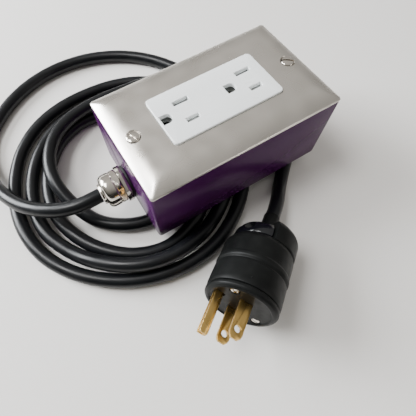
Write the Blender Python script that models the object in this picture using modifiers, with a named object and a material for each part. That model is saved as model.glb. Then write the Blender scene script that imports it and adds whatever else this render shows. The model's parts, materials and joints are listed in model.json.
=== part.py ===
"""Portable outlet box: a single-gang steel box with a duplex receptacle, on a coiled cord with a plug.

The origin is the centre of the outlet box. +X runs along the box, away from the cable gland; +Y is the
receptacle's neutral side; +Z points out of the receptacle's face. Lengths are in metres.
"""
import math

import bmesh
import bpy
import numpy as np
from mathutils import Matrix, Vector

MM = 0.001
GAP = 0.3 * MM                    # running clearance between neighbouring pieces

# outlet box
BOX_LENGTH = 115 * MM
BOX_WIDTH = 70 * MM
BOX_DEPTH = 46.5 * MM
BOX_WALL = 1.6 * MM
BOX_EDGE = 2.0 * MM

# cover plate and receptacle face
PLATE_RISE = 4.0 * MM             # top of the plate over the box's rim
PLATE_SHEET = 0.9 * MM
PLATE_BEVEL = 11.0 * MM           # width of the rolled edge
PLATE_ROLL = 2.9 * MM             # how far the rolled edge falls
FACE_PROUD = 1.0 * MM
FACE_LENGTH = 66.4 * MM
FACE_WIDTH = 32.9 * MM
FACE_CORNER = 2.5 * MM
FACE_HEIGHT = 10.0 * MM
FACE_SKIN = 2.4 * MM
FACE_WALL = 1.8 * MM

BASE_Z = -(BOX_DEPTH + PLATE_RISE + FACE_PROUD) / 2
RIM_Z = BASE_Z + BOX_DEPTH
PLATE_TOP_Z = RIM_Z + PLATE_RISE
FACE_TOP_Z = PLATE_TOP_Z + FACE_PROUD

# outlets
OUTLET_SPACING = 38.9 * MM
BLADES_X = [-17.0 * MM, -17.0 * MM + OUTLET_SPACING]
BLADE_SPREAD = 12.7 * MM          # between the two blades
GROUND_REACH = 11.9 * MM          # from the blades' line to the ground pin
NEUTRAL_SLOT = (9.2 * MM, 2.7 * MM)
HOT_SLOT = (7.4 * MM, 2.7 * MM)
GROUND_HOLE = 5.9 * MM

# screws
PLATE_SCREW_X = 48.42 * MM
PLATE_SCREW_Z = PLATE_TOP_Z - 0.3 * MM
DEVICE_SCREW_X = 41.65 * MM
SHANK_RADIUS = 1.6 * MM

# mounting yoke and the box ears that it sits on
YOKE_TOP = RIM_Z + 0.8 * MM
YOKE_SHEET = 1.2 * MM
EAR_SHEET = 1.6 * MM

# shutters under the face
SHUTTER_SHEET = 1.8 * MM
SHUTTER_TRAVEL = 3.4 * MM
SHUTTER_TOP = FACE_TOP_Z - FACE_SKIN - GAP
SHUTTER_LENGTH = 13.0 * MM
SHUTTER_LOW_Y = -13.0 * MM
SHUTTER_HIGH_Y = 9.4 * MM
GUIDE_TOP = SHUTTER_TOP - SHUTTER_SHEET - GAP
GUIDE_SHEET = 1.4 * MM
SPRING_COIL = 0.62 * MM
SPRING_WIRE = 0.14 * MM
SPRING_TURNS = 4

# receptacle body
BODY_LENGTH = 68.6 * MM
BODY_WIDTH = 33.4 * MM
BODY_WALL = 1.6 * MM
BODY_TOP = FACE_TOP_Z - FACE_HEIGHT - GAP
BODY_HEIGHT = 25.0 * MM
TERMINAL_Z = BODY_TOP - 9.0 * MM
CONTACT_SHEET = 0.8 * MM

# cord and cable gland
CORD_RADIUS = 4.3 * MM
SURFACE_Z = BASE_Z - 2 * CORD_RADIUS - 0.4 * MM    # the box rests on one layer of its cord
GLAND_Z = RIM_Z - 31.0 * MM
WALL_X = -BOX_LENGTH / 2
GLAND_END = 17.8 * MM             # outer end of the gland from the wall
GLAND_NUT_START = 5.4 * MM
GLAND_HEX_START = 1.8 * MM

# plug, in its own frame: +Z out of the face along the prongs, X across the blades, ground pin at -Y
PLUG_RADIUS = 19.0 * MM
PLUG_LENGTH = 47.4 * MM
PLUG_HEADING = math.radians(-145.9)
PLUG_TILT = math.radians(14)
PLUG_ROLL = math.radians(252)
PLUG_FACE_XY = (-44.7 * MM, -92.9 * MM)
PLUG_REST = 44.2 * MM             # the plug lies on its rear edge, this far behind its face
PLUG_REST_RADIUS = 18.0 * MM
BLADE = (1.5 * MM, 6.35 * MM, 17.5 * MM)
PIN = (4.0 * MM, 4.7 * MM)        # outside of the folded ground pin: width, depth
PIN_SHEET = 1.3 * MM
PIN_LENGTH = 20.6 * MM
FACE_SCREW_CIRCLE = 13.3 * MM
FACE_SCREW_TURNS = (-52, -139, 68)
CLAMP_PARTING = -1.9 * MM         # where the boss ends beside the cord

# The cord's route from the gland to the plug: x, y and the height of its middle over the surface, in mm.
CORD_START = [
    (-88.5, 0.5, 24.3), (-98.5, 3.8, 23.3), (-109, 11, 21.4), (-118.3, 21.5, 18.8), (-126, 36.5, 15.2),
    (-131, 54, 10.4), (-131.5, 73, 6), (-125, 93, 4.4), (-111, 110, 4.4), (-93, 123, 4.4),
    (-73, 130.5, 4.4), (-52, 132.5, 4.4), (-31, 129, 4.4), (-12, 120.5, 4.4), (4, 108, 4.4),
    (17, 91.5, 4.4), (25.8, 73, 4.4), (30, 53, 4.4), (30, 33, 4.4), (27, 11, 4.4),
    (19, -11, 4.4),
]
FIRST_TURN = [
    (5, -31, 4.4), (-11, -44.5, 4.4), (-31, -53.9, 4.4), (-53, -56, 4.4), (-74, -51.7, 4.4),
    (-94, -41.3, 4.4), (-111, -25.5, 4.4), (-122, -7, 4.4), (-126.5, 13, 4.4), (-125, 34, 4.4),
    (-118, 55, 4.4), (-106, 73.5, 4.4), (-89, 87, 4.4), (-69, 94, 4.4), (-48, 95.5, 4.4),
    (-26, 92.5, 4.4), (-6, 83.5, 4.4), (9, 68, 4.4), (17.5, 47, 4.4), (18.3, 25, 4.4),
    (13.3, 2, 4.4), (3, -18, 4.4),
]
SECOND_TURN = [
    (-9.5, -31, 4.4), (-21.5, -38.9, 4.4), (-33.5, -44.9, 8.6), (-46, -48.2, 11.6), (-59, -48.6, 11.8),
    (-73, -45, 11.8), (-92, -32.4, 10), (-107, -13.5, 5.2), (-115.3, 6, 4.4), (-115.3, 27, 4.4),
    (-109, 47, 4.4), (-96.5, 65, 4.4), (-79, 78, 4.4), (-59, 83, 4.4), (-38, 81, 4.4),
    (-19, 73, 4.4), (-3, 59, 4.4), (6, 40, 4.4), (7, 20, 4.4), (1.5, 1, 4.4),
    (-9, -16, 4.4),
]
THIRD_TURN = [
    (-24, -28.5, 4.4), (-38.5, -36.9, 4.4), (-55.5, -40.6, 4.4), (-73, -35.8, 4.4), (-89.5, -22.5, 4.4),
    (-101, -4, 4.4), (-105.5, 15, 4.4), (-102.8, 34, 4.4), (-94.5, 51.5, 4.4), (-82, 65, 4.4),
    (-65, 72.5, 4.4), (-46, 71.5, 4.4), (-28, 63.5, 4.4), (-14.5, 49.5, 4.4), (-7.5, 31, 4.4),
    (-9, 12, 4.4), (-18.5, -4.5, 4.4), (-34, -16, 4.4),
]
LAST_TURN = [
    (-52, -20.5, 4.4), (-69.8, -15.5, 4.4), (-84.5, -3.5, 4.6), (-93.2, 14, 8), (-96.2, 33, 13),
    (-92.3, 50, 13.6), (-82.3, 64, 13.6), (-67, 72.5, 13.5), (-48, 75.8, 13.5), (-27, 75, 13.5),
    (-6, 72.5, 13.5), (12, 68.5, 14.2), (27, 63.5, 14.9), (41.5, 57, 11.8), (54.5, 48, 6.6),
    (63.5, 34.5, 4.4), (66.5, 18, 4.4), (63.5, 1, 4.4), (55.5, -13.5, 4.4), (44, -26.5, 4.4),
    (32, -37, 4.4), (24.2, -43.9, 5.4), (16.8, -50.6, 8.8), (9, -56.8, 11.9),
]
CORD_STEP = 28.5 * MM              # about this far between the points of the cord's middle line


# ---------------------------------------------------------------- helpers

def clear_scene():
    for obj in list(bpy.data.objects):
        bpy.data.objects.remove(obj, do_unlink=True)


def make_collection(name):
    collection = bpy.data.collections.new(name)
    bpy.context.scene.collection.children.link(collection)
    return collection


def make_material(name, colour, roughness, metallic=0.0):
    material = bpy.data.materials.new(name)
    material.use_nodes = True
    shader = material.node_tree.nodes["Principled BSDF"]
    shader.inputs["Base Color"].default_value = (*colour, 1)
    shader.inputs["Roughness"].default_value = roughness
    shader.inputs["Metallic"].default_value = metallic
    return material


def add_part(name, data, material=None, place=None):
    """A part of the object, or a cutter where no material is given."""
    obj = bpy.data.objects.new(name, data)
    if material is None:
        CUTTERS.objects.link(obj)
        obj.hide_render = True
        obj.display_type = "WIRE"
    else:
        PARTS.objects.link(obj)
        data.materials.append(material)
    if place is not None:
        obj.matrix_world = place
    return obj


def shade(mesh, angle=35):
    mesh.shade_smooth()
    mesh.set_sharp_from_angle(angle=math.radians(angle))


def box(name, low, high, material=None, place=None):
    """A block between two corners."""
    bm = bmesh.new()
    bmesh.ops.create_cube(bm, size=1.0)
    low = Vector(low)
    high = Vector(high)
    for vertex in bm.verts:
        vertex.co = [low[i] + (high[i] - low[i]) * (vertex.co[i] + 0.5) for i in range(3)]
    mesh = bpy.data.meshes.new(name)
    bm.to_mesh(mesh)
    bm.free()
    return add_part(name, mesh, material, place)


def round_edges(obj, width, segments=3, angle=40):
    bevel = obj.modifiers.new("Rounded edges", "BEVEL")
    bevel.width = width
    bevel.segments = segments
    bevel.limit_method = "ANGLE"
    bevel.angle_limit = math.radians(angle)


def cylinder(name, radius, z_low, z_high, material=None, place=None, sides=20, top_radius=None):
    bm = bmesh.new()
    top = radius if top_radius is None else top_radius
    depth = z_high - z_low
    bmesh.ops.create_cone(bm, cap_ends=True, segments=sides, radius1=radius, radius2=top, depth=depth)
    bmesh.ops.translate(bm, verts=bm.verts, vec=(0, 0, z_low + depth / 2))
    mesh = bpy.data.meshes.new(name)
    bm.to_mesh(mesh)
    bm.free()
    shade(mesh)
    return add_part(name, mesh, material, place)


def turned(name, profile, material=None, place=None, steps=24, closed=False):
    """A profile of (radius, z) points turned about Z. It runs down the outer side, top to bottom."""
    mesh = bpy.data.meshes.new(name)
    count = len(profile)
    edges = [(i, i + 1) for i in range(count - 1)]
    if closed:
        edges.append((count - 1, 0))
    mesh.from_pydata([(radius, 0, z) for radius, z in profile], edges, [])
    obj = add_part(name, mesh, material, place)
    screw = obj.modifiers.new("Turned", "SCREW")
    screw.axis = "Z"
    screw.steps = steps
    screw.render_steps = steps
    screw.use_merge_vertices = True
    screw.merge_threshold = 0.00001
    screw.use_smooth_shade = False
    return obj


def combine(obj, other, operation):
    boolean = obj.modifiers.new(other.name, "BOOLEAN")
    boolean.operation = operation
    boolean.object = other
    boolean.solver = "EXACT"


def cut(obj, *cutters):
    for cutter in cutters:
        combine(obj, cutter, "DIFFERENCE")


def join(obj, *others):
    for other in others:
        combine(obj, other, "UNION")


def rounded_rectangle(length, width, radius, z, steps=4):
    """Corner points of a rounded rectangle, anticlockwise seen from above."""
    points = []
    for corner, (sx, sy) in enumerate([(1, 1), (-1, 1), (-1, -1), (1, -1)]):
        cx = sx * (length / 2 - radius)
        cy = sy * (width / 2 - radius)
        for step in range(steps + 1):
            turn = math.pi / 2 * (corner + step / steps)
            points.append((cx + radius * math.cos(turn), cy + radius * math.sin(turn), z))
    return points


def lofted(name, loops, material=None, place=None, ring=False):
    """A solid through loops of equal count. It is capped at both ends, or with ring it closes on itself."""
    bm = bmesh.new()
    rows = [[bm.verts.new(point) for point in loop] for loop in loops]
    count = len(loops[0])
    pairs = list(zip(rows, rows[1:]))
    if ring:
        pairs.append((rows[-1], rows[0]))
    for upper, lower in pairs:
        for i in range(count):
            j = (i + 1) % count
            bm.faces.new((upper[j], upper[i], lower[i], lower[j]))
    if not ring:
        bm.faces.new(rows[0])
        bm.faces.new(list(reversed(rows[-1])))
    mesh = bpy.data.meshes.new(name)
    bm.to_mesh(mesh)
    bm.free()
    shade(mesh)
    return add_part(name, mesh, material, place)


def tube(name, points, radius, material, resolution=2):
    """A round wire or cord along the points, with filled ends."""
    curve = bpy.data.curves.new(name, "CURVE")
    curve.dimensions = "3D"
    spline = curve.splines.new("POLY")
    spline.points.add(len(points) - 1)
    for target, point in zip(spline.points, points):
        target.co = (*point, 1)
    curve.bevel_depth = radius
    curve.bevel_resolution = resolution
    curve.use_fill_caps = True
    return add_part(name, curve, material)


def smooth_curve(points):
    """A dense row of points on a smooth curve through the given points."""
    route = np.array(points, dtype=float)
    knots = distances_along(route)
    slopes = np.gradient(route, knots, axis=0)
    curve = []
    for i, span in enumerate(np.diff(knots)):
        for t in np.linspace(0, 1, 24, endpoint=False):
            values = (2 * t ** 3 - 3 * t ** 2 + 1) * route[i] + (3 * t ** 2 - 2 * t ** 3) * route[i + 1]
            leads = (t ** 3 - 2 * t ** 2 + t) * slopes[i] + (t ** 3 - t ** 2) * slopes[i + 1]
            curve.append(values + leads * span)
    return np.array(curve + [route[-1]])


def distances_along(points):
    """How far along the row each point lies."""
    return np.concatenate([[0], np.cumsum(np.linalg.norm(np.diff(points, axis=0), axis=1))])


def smooth_line(points, step, is_over=None):
    """Points about step apart on a smooth curve, one of them at each edge of what the curve passes under."""
    curve = smooth_curve(points)
    along = distances_along(curve)
    edges = np.flatnonzero(np.diff([is_over(*point) for point in curve])) if is_over else []
    marks = np.array([0, *along[edges], along[-1]])
    counts = np.concatenate([[0], np.round(np.diff(marks) / step + 0.2)])
    places = np.interp(np.arange(counts.sum() + 1), np.cumsum(counts), marks)
    line = np.stack([np.interp(places, along, axis) for axis in curve.T], axis=1)
    return [Vector(point) for point in line]


# ---------------------------------------------------------------- outlet box

def build_housing():
    """A drawn steel box, open at the top, with an ear at each end for the receptacle's screws."""
    bm = bmesh.new()
    bmesh.ops.create_cube(bm, size=1.0)
    bmesh.ops.scale(bm, verts=bm.verts, vec=(BOX_LENGTH, BOX_WIDTH, BOX_DEPTH))
    bmesh.ops.translate(bm, verts=bm.verts, vec=(0, 0, BASE_Z + BOX_DEPTH / 2))
    top = [face for face in bm.faces if face.normal.z > 0.5]
    bmesh.ops.delete(bm, geom=top, context="FACES_ONLY")
    mesh = bpy.data.meshes.new("housing")
    bm.to_mesh(mesh)
    bm.free()
    housing = add_part("housing", mesh, PURPLE_PAINT)
    round_edges(housing, BOX_EDGE)
    shell = housing.modifiers.new("Sheet", "SOLIDIFY")
    shell.thickness = BOX_WALL
    shell.offset = -1
    shell.use_even_offset = True
    cut(housing, cylinder("gland_hole", 8.3 * MM, -5 * MM, 5 * MM, place=GLAND_PLACE, sides=24))
    for side in (-1, 1):
        ear = box(f"ear_{side}", *ear_corners(side))
        join(housing, ear)
        for use, screw_x, radius in (("device", DEVICE_SCREW_X, SHANK_RADIUS + GAP),
                                     ("plate", PLATE_SCREW_X, 2.4 * MM)):
            place = Matrix.Translation((side * screw_x, 0, RIM_Z))
            hole = cylinder(f"{use}_ear_hole_{side}", radius, -6 * MM, 2 * MM, place=place, sides=12)
            cut(housing, hole)
    return housing


def ear_corners(side):
    """The ear runs from inside the end wall towards the middle of the box."""
    outer = side * (BOX_LENGTH / 2 - BOX_WALL / 2)
    inner = side * 36.5 * MM
    top = YOKE_TOP - YOKE_SHEET - GAP
    low = (min(outer, inner), -7 * MM, top - EAR_SHEET)
    high = (max(outer, inner), 7 * MM, top)
    return low, high


def build_cover_plate():
    """A stainless wall plate: flat top, wide rolled edge, a window for the receptacle, two screw holes."""
    window = (FACE_LENGTH + 2 * GAP, FACE_WIDTH + 2 * GAP, FACE_CORNER + GAP)
    roll_steps = 6
    skirt = PLATE_RISE - PLATE_ROLL
    outer = [(0.0, 0.0), (0.0, skirt - 0.5 * MM)]
    inner = [(PLATE_SHEET, 0.0)]
    for step in range(roll_steps + 1):
        share = step / roll_steps
        rise = PLATE_RISE - PLATE_ROLL * (1 - share) ** 2
        outer.append((0.3 * MM + (PLATE_BEVEL - 0.3 * MM) * share, rise))
        inner.append((PLATE_SHEET + (PLATE_BEVEL - PLATE_SHEET) * share, rise - PLATE_SHEET))

    def section(inset, height):
        corner = 1.6 * MM + 0.12 * inset
        return rounded_rectangle(BOX_LENGTH - 2 * inset, BOX_WIDTH - 2 * inset, corner, RIM_Z + height)

    loops = [rounded_rectangle(*window, PLATE_TOP_Z)]
    loops += [section(*point) for point in reversed(outer)]
    loops += [section(*point) for point in inner]
    loops.append(rounded_rectangle(*window, PLATE_TOP_Z - PLATE_SHEET))
    plate = lofted("cover_plate", loops, BRUSHED_STEEL, ring=True)
    for side in (-1, 1):
        place = Matrix.Translation((side * PLATE_SCREW_X, 0, PLATE_SCREW_Z))
        sink = cylinder(f"countersink_{side}", 1.5 * MM, -2.6 * MM, 0.3 * MM, place=place, sides=24,
                        top_radius=4.15 * MM)
        cut(plate, sink)
    return plate


def build_plate_screws():
    """Slotted oval-head screws that hold the cover plate."""
    head = 3.6 * MM
    crown = 0.85 * MM
    depth = 2.1 * MM
    length = 11 * MM
    profile = [(0, crown), (head * 0.45, crown * 0.9), (head * 0.8, crown * 0.5), (head, 0),
               (SHANK_RADIUS, -depth), (SHANK_RADIUS, -length), (0, -length - 0.6 * MM)]
    slot_turn = {-1: math.radians(112), 1: math.radians(-38)}
    for index, side in enumerate((-1, 1), start=1):
        spin = Matrix.Rotation(slot_turn[side], 4, "Z")
        place = Matrix.Translation((side * PLATE_SCREW_X, 0, PLATE_SCREW_Z)) @ spin
        screw = turned(f"plate_screw_{index}", profile, NICKEL, place)
        low = (-5 * MM, -0.45 * MM, -0.35 * MM)
        high = (5 * MM, 0.45 * MM, 2 * MM)
        slot = box(f"plate_screw_slot_{index}", low, high, place=place)
        cut(screw, slot)


def build_yoke():
    """The receptacle's steel strap, round the face and out to the screws at both ends."""
    low = YOKE_TOP - YOKE_SHEET
    yoke = box("mounting_yoke", (-53 * MM, -8.5 * MM, low), (53 * MM, 8.5 * MM, YOKE_TOP), ZINC)
    ring = box("yoke_ring", (-37 * MM, -19.5 * MM, low), (37 * MM, 19.5 * MM, YOKE_TOP))
    window = box("yoke_window", (-FACE_LENGTH / 2 - GAP, -FACE_WIDTH / 2 - GAP, low - 2 * MM),
                 (FACE_LENGTH / 2 + GAP, FACE_WIDTH / 2 + GAP, YOKE_TOP + 2 * MM))
    join(yoke, ring)
    cut(yoke, window)
    radius = SHANK_RADIUS + GAP
    for side in (-1, 1):
        for use, screw_x in (("device", DEVICE_SCREW_X), ("plate", PLATE_SCREW_X)):
            place = Matrix.Translation((side * screw_x, 0, YOKE_TOP))
            cut(yoke, cylinder(f"{use}_yoke_hole_{side}", radius, -3 * MM, 2 * MM, place=place, sides=12))


def build_device_screws():
    """Pan-head screws that hold the yoke to the box ears."""
    head = 3.1 * MM
    height = 1.7 * MM
    profile = [(0, height), (head * 0.75, height * 0.9), (head, height * 0.4), (head, 0), (SHANK_RADIUS, 0),
               (SHANK_RADIUS, -14 * MM), (0, -14.6 * MM)]
    for index, side in enumerate((-1, 1), start=1):
        place = Matrix.Translation((side * DEVICE_SCREW_X, 0, YOKE_TOP + GAP))
        screw = turned(f"device_screw_{index}", profile, NICKEL, place, steps=16)
        slot = box(f"device_screw_slot_{index}", (-0.5 * MM, -4 * MM, 0.9 * MM), (0.5 * MM, 4 * MM, 3 * MM),
                   place=place)
        cut(screw, slot)


# ---------------------------------------------------------------- receptacle

def slot_cutters(prefix, z_low, z_high, grow=0.0):
    """Cutters for both outlets' blade slots and ground holes."""
    cutters = []
    half = BLADE_SPREAD / 2
    for number, x in enumerate(BLADES_X, start=1):
        for side, (length, width) in ((1, NEUTRAL_SLOT), (-1, HOT_SLOT)):
            low = (x - length / 2 - grow, side * half - width / 2 - grow, z_low)
            high = (x + length / 2 + grow, side * half + width / 2 + grow, z_high)
            cutters.append(box(f"{prefix}_slot_{number}_{side}", low, high))
        cutters.append(ground_cutter(f"{prefix}_ground_{number}", x - GROUND_REACH, z_low, z_high, grow))
    return cutters


def ground_cutter(name, x, z_low, z_high, grow):
    """A ground hole: flat on the side away from the blades, round towards them."""
    radius = GROUND_HOLE / 2 + grow
    outline = [(x - radius, -radius), (x + 0.1 * MM, -radius)]
    for step in range(1, 8):
        turn = math.pi * (step / 8 - 0.5)
        outline.append((x + 0.1 * MM + radius * math.cos(turn), radius * math.sin(turn)))
    outline += [(x + 0.1 * MM, radius), (x - radius, radius)]
    loops = [[(px, py, z) for px, py in outline] for z in (z_high, z_low)]
    return lofted(name, loops)


def build_face():
    """The white face: a cap with the outlets' slots, open below."""
    low = FACE_TOP_Z - FACE_HEIGHT
    edge = 0.5 * MM

    def section(inset, z):
        return rounded_rectangle(FACE_LENGTH - 2 * inset, FACE_WIDTH - 2 * inset, FACE_CORNER - inset, z)

    loops = [
        section(edge, FACE_TOP_Z),
        section(edge * 0.3, FACE_TOP_Z - edge * 0.3),
        section(0, FACE_TOP_Z - edge),
        section(0, low),
        section(FACE_WALL, low),
        section(FACE_WALL, FACE_TOP_Z - FACE_SKIN),
    ]
    face = lofted("receptacle_face", loops, WHITE_PLASTIC)
    cut(face, *slot_cutters("face", FACE_TOP_Z - FACE_SKIN - 1 * MM, FACE_TOP_Z + 1 * MM))


def build_shutters():
    """A sliding safety shutter over each hot slot, its return spring, and the guide plate for both."""
    half = BLADE_SPREAD / 2
    inner_y = FACE_WIDTH / 2 - FACE_WALL
    reach = HOT_SLOT[1] / 2 + 0.05 * MM
    for number, x in enumerate(BLADES_X, start=1):
        low = (x - SHUTTER_LENGTH / 2, SHUTTER_LOW_Y, SHUTTER_TOP - SHUTTER_SHEET)
        high = (x + SHUTTER_LENGTH / 2, SHUTTER_HIGH_Y, SHUTTER_TOP)
        shutter = box(f"shutter_{number}", low, high, SHUTTER_PLASTIC)
        windows = [(-half - SHUTTER_TRAVEL - reach, -half - SHUTTER_TRAVEL + reach),
                   (half - SHUTTER_TRAVEL - reach, half + reach)]
        for low_y, high_y in windows:
            cut(shutter, box(f"shutter_window_{number}", (x - 5 * MM, low_y, SHUTTER_TOP - 3 * MM),
                             (x + 5 * MM, high_y, SHUTTER_TOP + 1 * MM)))
        centre = Vector((x, 0, SHUTTER_TOP - SHUTTER_SHEET / 2))
        coil = spring_points(centre, SHUTTER_HIGH_Y + 0.5 * MM, inner_y - 0.5 * MM)
        tube(f"shutter_spring_{number}", coil, SPRING_WIRE, SPRING_STEEL, 1)
    guide = box("shutter_guide", (-31 * MM, -inner_y + GAP, GUIDE_TOP - GUIDE_SHEET),
                (31 * MM, inner_y - GAP, GUIDE_TOP), SHUTTER_PLASTIC)
    cut(guide, *slot_cutters("guide", GUIDE_TOP - GUIDE_SHEET - 1 * MM, GUIDE_TOP + 1 * MM, grow=0.2 * MM))


def spring_points(centre, y_low, y_high):
    """A coil along Y."""
    radius = SPRING_COIL
    steps = SPRING_TURNS * 8
    points = []
    for step in range(steps + 1):
        turn = 2 * math.pi * step / 8
        y = y_low + (y_high - y_low) * step / steps
        points.append((centre.x + radius * math.cos(turn), y, centre.z + radius * math.sin(turn)))
    return points


def build_receptacle_body():
    """The black back of the receptacle, a tray under the face that holds the contacts."""
    low = BODY_TOP - BODY_HEIGHT
    loops = [
        rounded_rectangle(BODY_LENGTH, BODY_WIDTH, 2 * MM, BODY_TOP, 3),
        rounded_rectangle(BODY_LENGTH, BODY_WIDTH, 2 * MM, low + 1 * MM, 3),
        rounded_rectangle(BODY_LENGTH - 2 * MM, BODY_WIDTH - 2 * MM, 1.5 * MM, low, 3),
    ]
    body = lofted("receptacle_body", loops, BLACK_PLASTIC)
    hollow = box("body_hollow", (-BODY_LENGTH / 2 + BODY_WALL, -BODY_WIDTH / 2 + BODY_WALL, low + 2 * MM),
                 (BODY_LENGTH / 2 - BODY_WALL, BODY_WIDTH / 2 - BODY_WALL, BODY_TOP + 1 * MM))
    cut(body, hollow)
    for place in terminal_places():
        cut(body, cylinder("terminal_hole", 2.0 * MM, -6 * MM, 4 * MM, place=place, sides=12))


def terminal_places():
    """Frames of the hot, neutral and ground terminal screws: +Z points out of the body's side."""
    hot = Matrix.Translation((0, -BODY_WIDTH / 2, TERMINAL_Z)) @ Matrix.Rotation(math.pi / 2, 4, "X")
    neutral = Matrix.Translation((0, BODY_WIDTH / 2, TERMINAL_Z)) @ Matrix.Rotation(-math.pi / 2, 4, "X")
    ground = Matrix.Translation((-BODY_LENGTH / 2, 0, TERMINAL_Z)) @ Matrix.Rotation(-math.pi / 2, 4, "Y")
    return hot, neutral, ground


def build_terminal_screws():
    profile = [(0, 2.6 * MM), (2.6 * MM, 2.6 * MM), (3.5 * MM, 2.0 * MM), (3.5 * MM, GAP),
               (SHANK_RADIUS, GAP), (SHANK_RADIUS, -1.8 * MM), (0, -1.8 * MM)]
    finishes = (BRASS, NICKEL, GREEN_SCREW)
    for name, place, finish in zip(("hot", "neutral", "ground"), terminal_places(), finishes):
        screw = turned(f"{name}_terminal_screw", profile, finish, place, steps=16)
        low = (-4 * MM, -0.5 * MM, 1.7 * MM)
        high = (4 * MM, 0.5 * MM, 4 * MM)
        cut(screw, box(f"{name}_screw_slot", low, high, place=place))


def build_contacts():
    """Brass contacts: a bus for each blade line with a fork at both outlets, and a ground bus."""
    top = BODY_TOP - 0.6 * MM
    reach = CONTACT_SHEET + 1.3 * MM
    for name, side in (("hot", -1), ("neutral", 1)):
        middle = side * BLADE_SPREAD / 2
        outer = sorted((middle + side * 1.3 * MM, middle + side * reach))
        inner = sorted((middle - side * 1.3 * MM, middle - side * reach))
        bus = box(f"{name}_bus", (BLADES_X[0] - 5 * MM, outer[0], top - 9 * MM),
                  (BLADES_X[1] + 5 * MM, outer[1], top), BRASS)
        for number, x in enumerate(BLADES_X, start=1):
            leaf = box(f"{name}_leaf_{number}", (x - 4.5 * MM, inner[0], top - 8.8 * MM),
                       (x + 4.5 * MM, inner[1], top - 0.2 * MM))
            near_y = min(outer[0], inner[0]) + 0.1 * MM
            far_y = max(outer[1], inner[1]) - 0.1 * MM
            web = box(f"{name}_web_{number}", (x - 4.2 * MM, near_y, top - 8.6 * MM),
                      (x + 4.2 * MM, far_y, top - 7.6 * MM))
            join(bus, leaf, web)
        wall = side * (BODY_WIDTH / 2 - BODY_WALL - 1.6 * MM)
        near = middle + side * 1.6 * MM
        tab = box(f"{name}_tab", (-3 * MM, min(wall, near), TERMINAL_Z + 0.8 * MM),
                  (3 * MM, max(wall, near), TERMINAL_Z + 1.8 * MM))
        join(bus, tab)
    build_ground_bus(top)


def build_ground_bus(top):
    """A strip between two square sleeves, one under each ground hole."""
    sleeve = 3.2 * MM
    bore = 2.45 * MM
    depth = 11 * MM
    low = top - depth
    first, second = (x - GROUND_REACH for x in BLADES_X)
    bus = box("ground_bus", (first, -1.5 * MM, low + 0.1 * MM), (second, 1.5 * MM, low + 1.1 * MM), BRASS)
    for number, x in enumerate((first, second), start=1):
        join(bus, box(f"ground_sleeve_{number}", (x - sleeve, -sleeve, low), (x + sleeve, sleeve, top)))
    for number, x in enumerate((first, second), start=1):
        cut(bus, box(f"ground_bore_{number}", (x - bore, -bore, low - MM), (x + bore, bore, top + MM)))


# ---------------------------------------------------------------- cable gland

def gland_sleeve(name, profile, material, steps=24):
    """A turned ring of the gland. Its +Z is the way the cord leaves."""
    return turned(name, profile, material, GLAND_PLACE, steps, closed=True)


def build_gland():
    """Washer, threaded body with its hexagon, locknut inside the box, seal and domed nut."""
    hex_radius = 11.0 * MM
    bore = 5.2 * MM
    washer = [(10.2 * MM, 1.5 * MM), (10.2 * MM, GAP), (8.3 * MM, GAP), (8.3 * MM, 1.5 * MM)]
    gland_sleeve("gland_washer", washer, BLACK_RUBBER)
    body = cylinder("gland_body", 8.0 * MM, -6.4 * MM, 10.0 * MM, NICKEL, GLAND_PLACE, sides=24)
    flange = hexagon("gland_hex", hex_radius, GLAND_HEX_START, GLAND_NUT_START - GAP)
    join(body, flange)
    cut(body, cylinder("gland_bore", bore, -8 * MM, 14 * MM, place=GLAND_PLACE, sides=24))
    locknut = hexagon("gland_locknut", hex_radius, -BOX_WALL - GAP - 3.2 * MM, -BOX_WALL - GAP, NICKEL)
    cut(locknut, cylinder("locknut_bore", 8.3 * MM, -8 * MM, 2 * MM, place=GLAND_PLACE, sides=24))
    seal = [(6.8 * MM, 15.4 * MM), (6.8 * MM, 10.3 * MM), (4.6 * MM, 10.3 * MM), (4.6 * MM, 15.4 * MM)]
    gland_sleeve("gland_seal", seal, BLACK_RUBBER)
    build_gland_nut()


def hexagon(name, radius, z_low, z_high, material=None):
    flat_up = GLAND_PLACE @ Matrix.Rotation(math.radians(30), 4, "Z")
    return cylinder(name, radius, z_low, z_high, material, flat_up, sides=6)


def build_gland_nut():
    """The domed nut: six flats towards the box, a turned groove, a rounded end and a thin collar."""
    end = GLAND_END
    dome_end = end - 1.3 * MM
    profile = [
        (5.4 * MM, end), (6.1 * MM, end), (6.3 * MM, dome_end), (8.0 * MM, dome_end - 0.2 * MM),
        (9.2 * MM, dome_end - 1.1 * MM), (9.9 * MM, dome_end - 2.4 * MM), (10.1 * MM, dome_end - 3.8 * MM),
        (10.1 * MM, 9.4 * MM), (9.8 * MM, 9.1 * MM), (9.8 * MM, 8.7 * MM), (10.9 * MM, 8.3 * MM),
        (10.9 * MM, 6.2 * MM), (9.9 * MM, GLAND_NUT_START), (8.3 * MM, GLAND_NUT_START),
        (8.3 * MM, 10.3 * MM), (7.1 * MM, 10.9 * MM), (7.1 * MM, 15.6 * MM), (5.4 * MM, 16.1 * MM),
    ]
    nut = gland_sleeve("gland_nut", profile, NICKEL, 32)
    flats = hexagon("nut_flats", 11.2 * MM, 2 * MM, 9.0 * MM)
    dome = cylinder("nut_dome", 12 * MM, 8.9 * MM, end + 2 * MM, place=GLAND_PLACE, sides=24)
    join(flats, dome)
    combine(nut, flats, "INTERSECT")


# ---------------------------------------------------------------- cord and wires

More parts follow.
